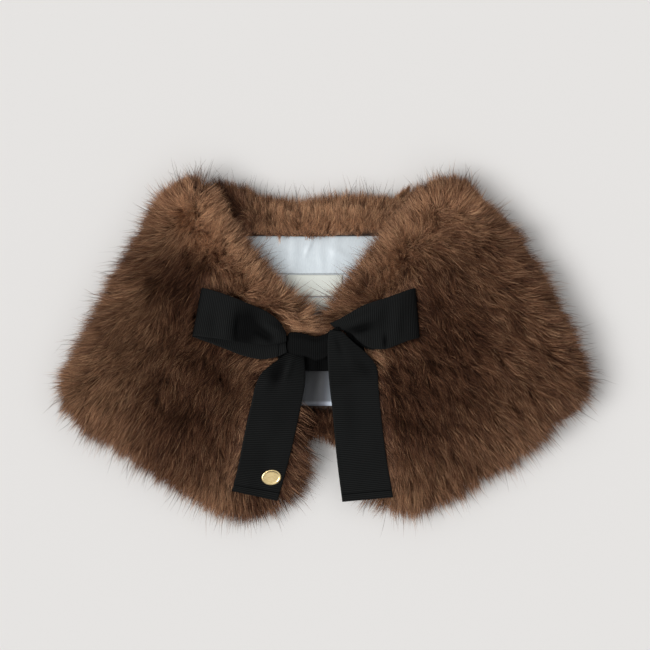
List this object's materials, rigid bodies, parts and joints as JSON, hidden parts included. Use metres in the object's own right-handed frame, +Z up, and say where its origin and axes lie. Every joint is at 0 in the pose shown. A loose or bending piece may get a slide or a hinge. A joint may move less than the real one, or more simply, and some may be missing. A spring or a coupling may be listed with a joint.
{
  "type": "fur collar wrap",
  "caption": "Short shoulder collar with a long pile, laid flat with its fronts folded over the back and tied at the neck with a ribbon bow.",
  "frame": {"origin": "on the surface that the collar lies on, under the middle of its outline", "axes": "+X to the right of the collar seen from above with its neck at the top, +Y from the hem towards the back of the neck, +Z up"},
  "size_m": [0.542, 0.3474, 0.0581],
  "materials": {
    "fur": "long soft pile, brown, lighter at the neck",
    "satin": "pale blue-white satin",
    "woven": "off-white woven tape",
    "grosgrain": "matt black ribbed ribbon",
    "gold": "polished pale gold"
  },
  "bodies": {
    "root": {"back": "fur", "front_left": "fur", "front_right": "fur", "neck_facing": "fur", "lining_band": "satin", "lining_body": "satin", "label_main": "woven", "label_size": "woven", "ribbon_band": "grosgrain", "loop_left": "grosgrain", "loop_right": "grosgrain", "tail_left": "grosgrain", "tail_right": "grosgrain", "knot": "grosgrain", "tail_trim": "gold"}
  },
  "joints": []
}
